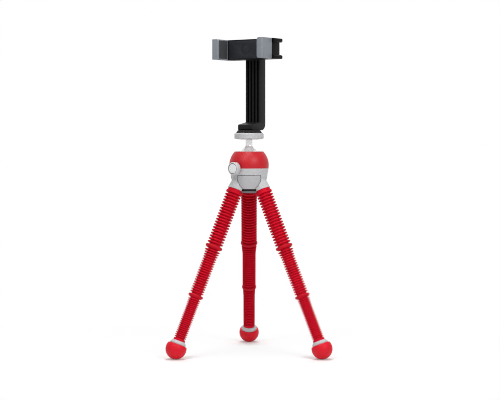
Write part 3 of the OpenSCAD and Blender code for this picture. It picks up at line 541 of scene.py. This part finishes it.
def platform():
    """Round platform with soft edges, and the rubber pad on it."""
    place = BALL @ Matrix.Translation((0, 0, PLATFORM_RISE * MM))
    disc = rounded([(NECK_R, 0, 0), (PLATFORM_R - DISC_HOLLOW, 0, 1.0),
                    (PLATFORM_R - DISC_LOW_EDGE, DISC_DISH, 0.5), (PLATFORM_R, DISC_DISH + DISC_LOW_EDGE, 0.4),
                    (PLATFORM_R, PLATFORM_T - DISC_TOP_BEVEL, 0.5), (PLATFORM_R - DISC_TOP_BEVEL, PLATFORM_T, 0.5),
                    (STUD_R, PLATFORM_T, 0), (STUD_R, SPIGOT_LEN, 0), (NECK_R, SPIGOT_LEN, 0)])
    shown(spun(disc, place, 96, ring=True), "platform_disc_turned", "platform_disc")
    bore_r = STUD_R + PAD_STUD_GAP
    pad = rounded([(bore_r, 0, 0), (PLATFORM_R - PAD_LOW_INSET, 0, 0.2), (PLATFORM_R - PAD_TOP_INSET, PAD_T, 0.4),
                   (bore_r, PAD_T, 0)])
    place = place @ Matrix.Translation((0, 0, PLATFORM_T * MM))
    shown(spun(pad, place, 96, ring=True), "platform_pad_moulded", "platform_pad")


def crowned(radius, height, rise, steps=6):
    """Points of a low crown from its edge to its middle."""
    return [(radius * (1 - k / steps), height + rise * (1 - (1 - k / steps) ** 2)) for k in range(steps + 1)]


def knob():
    """Lock knob: a shank, a rounded rim, and a pale face set into it with a black ring in the groove round it,
    painted shade of the groove.
    """
    place = lock_place()
    front = KNOB_START + KNOB_T
    pocket = front - FACE_POCKET
    groove_r = KNOB_FACE_R + KNOB_GROOVE
    outline = rounded([
        (LOCK_SCREW_R, SHANK_START, 0), (SHANK_R, SHANK_START, 0), (SHANK_R, KNOB_START, 0.3),
        (KNOB_R - KNOB_BACK_BEVEL, KNOB_START, 0.3), (KNOB_R, KNOB_START + KNOB_BACK_BEVEL, 0.3),
        (KNOB_R, front - KNOB_FRONT_BEVEL, 0.5), (KNOB_R - KNOB_FRONT_BEVEL, front, 0.3),
        (groove_r, front, 0.15), (groove_r, pocket, 0), (0, pocket, 0)])
    outline += [Vector((0, front - SCREW_END)), Vector((LOCK_SCREW_R, front - SCREW_END))]
    shown(spun(outline, place, 64, ring=True), "lock_knob_turned", "lock_knob")
    face_front = front - FACE_SUNK
    face = rounded([(0, pocket, 0), (KNOB_FACE_R, pocket, 0), (KNOB_FACE_R, face_front, 0.35)])
    face += crowned(KNOB_FACE_R - 0.4, face_front, FACE_CROWN)
    shown(spun(face, place), "lock_knob_face", "lock_knob", look=KNOB_FACE)
    # A thin black ring in the groove round the face: painted shade of the narrow groove.
    low, high = pocket + GROOVE_SHADE_LIFT, front - GROOVE_SHADE_SUNK
    ring = [(KNOB_FACE_R, low), (groove_r, low), (groove_r, high), (KNOB_FACE_R, high)]
    shown(spun(ring, place, ring=True), "lock_knob_painted_groove_shade", "lock_knob", slot="black_plastic")


def base_cover():
    """Bottom cover: a black band against the hub, painted shade of the gap under the panels, and a grey rim under
    it.
    """
    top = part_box("base_cover")[1].z
    split = Vector((0, 0, top - COVER_SHADE_BAND * MM))
    band = trimmed(copied("base_cover"), split, Vector((0, 0, -1)))
    # The black band stands for the shade of the gap under the panels: painted shade.
    shown(band, "base_cover_painted_shade_band", "base_cover")
    rim = trimmed(copied("base_cover"), split, Vector((0, 0, 1)))
    shown(rim, "base_cover_rim", "base_cover", look=RIM_GREY, slot="light_grey")


bowl()
dome()
ball_and_stem()
platform()
knob()
# The web panels take that darker grey, painted shade of their downward tilt.
softened("web_panels", 0.35, look=PANEL_GREY)
base_cover()


# Arm and clamp
def jaw_springs():
    """Two return springs, each a round wire wound round its guide rod."""
    low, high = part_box("jaw_springs")
    length = high.x - low.x - 2 * WIRE_R * MM
    centre_z = (low.z + high.z) / 2
    rod_offset = (high.z - low.z) / 2 - (SPRING_R + WIRE_R) * MM
    steps = SPRING_TURNS * SPRING_STEPS
    mesh = bmesh.new()
    for side in (-1, 1):
        axis = Vector((low.x + WIRE_R * MM, 0, centre_z + side * rod_offset))
        place = Matrix.Translation(axis + Vector((0, SPRING_R * MM, 0)))
        made = bmesh.ops.create_circle(mesh, cap_ends=False, segments=10, radius=WIRE_R * MM, matrix=place)
        wire = made["verts"]
        edges = list({e for v in wire for e in v.link_edges})
        bmesh.ops.spin(mesh, geom=wire + edges, cent=axis, axis=(1, 0, 0), dvec=(length / steps, 0, 0),
                       angle=math.tau * SPRING_TURNS, steps=steps)
    bmesh.ops.holes_fill(mesh, edges=[e for e in mesh.edges if e.is_boundary], sides=0)
    bmesh.ops.recalc_face_normals(mesh, faces=mesh.faces)
    piece = shown(mesh, "jaw_springs_wound", "jaw_springs")
    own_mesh(piece)


def slab(low, high):
    """A plain block between two corners."""
    mesh = bmesh.new()
    middle, size = (low + high) / 2, high - low
    bmesh.ops.create_cube(mesh, size=1, matrix=Matrix.Translation(middle) @ Matrix.Diagonal((*size, 1)))
    return mesh


def clamp_body():
    """Clamp housing: a deep black body, and a plate let into its front where the phone's back rests. The black of
    the stepped border strips above and below the plate is partly the real shade of the step and partly painted
    shade of a gap there.
    """
    low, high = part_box("clamp_housing")
    jaw_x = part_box("fixed_jaw_liner")[0].x
    cap_low, cap_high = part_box("pivot_cap")
    centre = (cap_low + cap_high) / 2
    edge, depth, gap, over = PLATE_EDGE * MM, PLATE_T * MM, PLATE_GAP * MM, CUT_OVER * MM
    plate_low = Vector((low.x + edge, low.y, low.z + edge))
    plate_high = Vector((jaw_x - gap, low.y + depth, high.z - edge))
    pocket = slab(plate_low - Vector((gap, over, gap)), plate_high + Vector((gap, 0, gap)))
    # Border strips above and below the plate: their black is painted shade of a gap, besides the real shade of
    # their small step.
    border = [slab(Vector((low.x - over, low.y - over, z0)), Vector((jaw_x, low.y + PLATE_STEP * MM, z1)))
              for z0, z1 in ((low.z - over, low.z + edge), (high.z - edge, high.z + over))]
    shown(cut(copied("clamp_housing"), pocket, *border), "clamp_housing_body", "clamp_housing")
    cap_r = (cap_high.x - cap_low.x) / 2 / MM
    hole = peg(cap_r + CAP_GAP, -3, 3, turned_to(Vector((0, 1, 0)), centre))
    plate = cut(slab(plate_low, plate_high), hole)
    edges = [e for e in plate.edges if len(e.link_faces) == 2 and e.calc_face_angle() > 1]
    bmesh.ops.bevel(plate, geom=edges, offset=PLATE_BEVEL * MM, offset_type="OFFSET", affect="EDGES", segments=2,
                    profile=0.5, material=-1, clamp_overlap=True)
    shown(plate, "clamp_plate", "clamp_housing", look=PLATE)


jaw_springs()
softened("mount_arm", 0.5)
clamp_body()
softened("clamp_cover", 0.3)
softened("pivot_cap", 0.25, look=PLATE)
softened("fixed_jaw", 0.35)
softened("moving_jaw", 0.35)
softened("fixed_jaw_liner", 0.3)
softened("moving_jaw_liner", 0.3)
softened("accessory_shoe", 0.4, look=SHOE_BLACK)


# Floor, light and camera
def white_to_the_eye(tree, lit, white):
    """Light Path of rays that see the background: straight ones, mirrored ones and ones through glass."""
    path = tree.nodes.new("ShaderNodeLightPath")
    either = path.outputs["Is Camera Ray"]
    for other in ("Is Glossy Ray", "Is Transmission Ray"):
        both = tree.nodes.new("ShaderNodeMath")
        both.operation = "MAXIMUM"
        tree.links.new(either, both.inputs[0])
        tree.links.new(path.outputs[other], both.inputs[1])
        either = both.outputs[0]
    mix = tree.nodes.new("ShaderNodeMixShader")
    tree.links.new(either, mix.inputs["Fac"])
    tree.links.new(lit, mix.inputs[1])
    tree.links.new(white, mix.inputs[2])
    return mix.outputs["Shader"]


def world():
    """White behind the object, and an even soft light from all round."""
    made = bpy.data.worlds.new("studio")
    bpy.context.scene.world = made
    made.use_nodes = True
    tree = made.node_tree
    lit = tree.nodes["Background"]
    lit.inputs["Color"].default_value = (1, 1, 1, 1)
    lit.inputs["Strength"].default_value = 0.14
    white = tree.nodes.new("ShaderNodeBackground")
    white.inputs["Color"].default_value = (1, 1, 1, 1)
    seen = white_to_the_eye(tree, lit.outputs[0], white.outputs[0])
    tree.links.new(seen, tree.nodes["World Output"].inputs["Surface"])


def white_share(tree, centre, values):
    """How much of the floor is plain white, growing with the distance from a point on it."""
    place = tree.nodes.new("ShaderNodeTexCoord")
    apart = tree.nodes.new("ShaderNodeVectorMath")
    apart.operation = "DISTANCE"
    apart.inputs[1].default_value = centre
    tree.links.new(place.outputs["Object"], apart.inputs[0])
    share = tree.nodes.new("ShaderNodeMapRange")
    share.interpolation_type = "SMOOTHSTEP"
    for key, value in values.items():
        share.inputs[key].default_value = value
    tree.links.new(apart.outputs["Value"], share.inputs["Value"])
    return share.outputs["Result"]


def floor():
    """Pale floor that is white to the eye, and keeps the shadow under the object and most of it under the feet,
    with painted shade as well: a faint grey round the middle and a deeper grey round each foot.
    """
    mesh = bmesh.new()
    bmesh.ops.create_grid(mesh, x_segments=1, y_segments=1, size=4)
    data = bpy.data.meshes.new("floor")
    mesh.to_mesh(data)
    mesh.free()
    plane = bpy.data.objects.new("floor", data)
    bpy.context.scene.collection.objects.link(plane)
    material = bpy.data.materials.new("pale_floor")
    material.use_nodes = True
    tree = material.node_tree
    shader = tree.nodes["Principled BSDF"]
    shader.inputs["Base Color"].default_value = (0.97, 0.97, 0.97, 1)
    shader.inputs["Roughness"].default_value = 0.9
    shader.inputs["Specular IOR Level"].default_value = 0.0
    white = tree.nodes.new("ShaderNodeEmission")
    white.inputs["Strength"].default_value = 1.0
    share = white_share(tree, (0, 0, 0), SHADOW_ROUND_OBJECT)
    # Round each foot's place at rest the white share drops: painted grey shade there, besides the real shadow.
    for leg in LEGS:
        low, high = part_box(f"{leg}_foot")
        least = tree.nodes.new("ShaderNodeMath")
        least.operation = "MINIMUM"
        tree.links.new(share, least.inputs[0])
        middle = ((low.x + high.x) / 2, (low.y + high.y) / 2, 0)
        tree.links.new(white_share(tree, middle, SHADOW_ROUND_FOOT), least.inputs[1])
        share = least.outputs[0]
    part = tree.nodes.new("ShaderNodeMixShader")
    tree.links.new(share, part.inputs["Fac"])
    tree.links.new(shader.outputs[0], part.inputs[1])
    tree.links.new(white.outputs[0], part.inputs[2])
    seen = white_to_the_eye(tree, shader.outputs[0], part.outputs[0])
    tree.links.new(seen, tree.nodes["Material Output"].inputs["Surface"])
    data.materials.append(material)


def lamp(name, azimuth, elevation, distance, size, power):
    """A square soft lamp that looks at the middle of the object.

    Angles are in degrees, the distance and size in metres.
    """
    data = bpy.data.lights.new(name, "AREA")
    data.size, data.energy = size, power
    made = bpy.data.objects.new(name, data)
    turn, rise = math.radians(azimuth), math.radians(elevation)
    aim = Vector((0, 0, AIM_HEIGHT * MM))
    toward = Vector((math.sin(turn) * math.cos(rise), -math.cos(turn) * math.cos(rise), math.sin(rise)))
    made.matrix_world = turned_to(toward, aim + toward * distance)
    bpy.context.scene.collection.objects.link(made)


def camera():
    """The camera of the photograph, level with the head of the tripod."""
    right = Vector((math.cos(PHOTO_AZIMUTH), math.sin(PHOTO_AZIMUTH), 0)) * AIM_RIGHT * MM
    aim = right + Vector((0, 0, AIM_HEIGHT * MM))
    away = Vector((math.sin(PHOTO_AZIMUTH), -math.cos(PHOTO_AZIMUTH), 0)) * CAMERA_DISTANCE
    eye = right + (away + Vector((0, 0, CAMERA_HEIGHT))) * MM
    data = bpy.data.cameras.new("camera")
    data.sensor_width = SENSOR_W
    data.lens = SENSOR_W * (eye - aim).length / MM / MM_PER_PIXEL / PHOTO_W
    made = bpy.data.objects.new("camera", data)
    made.matrix_world = turned_to(eye - aim, eye)
    bpy.context.scene.collection.objects.link(made)
    bpy.context.scene.camera = made


world()
floor()
lamp("key", 68, 30, 1.4, 0.5, 7.9)
lamp("fill", 4, 44, 1.6, 0.6, 7.4)
lamp("top", 35, 82, 1.2, 0.5, 7.4)
lamp("back", 215, 60, 1.4, 0.6, 6.0)
camera()
bpy.context.scene.view_settings.view_transform = "Standard"
bpy.context.scene.cycles.filter_width = 1.0
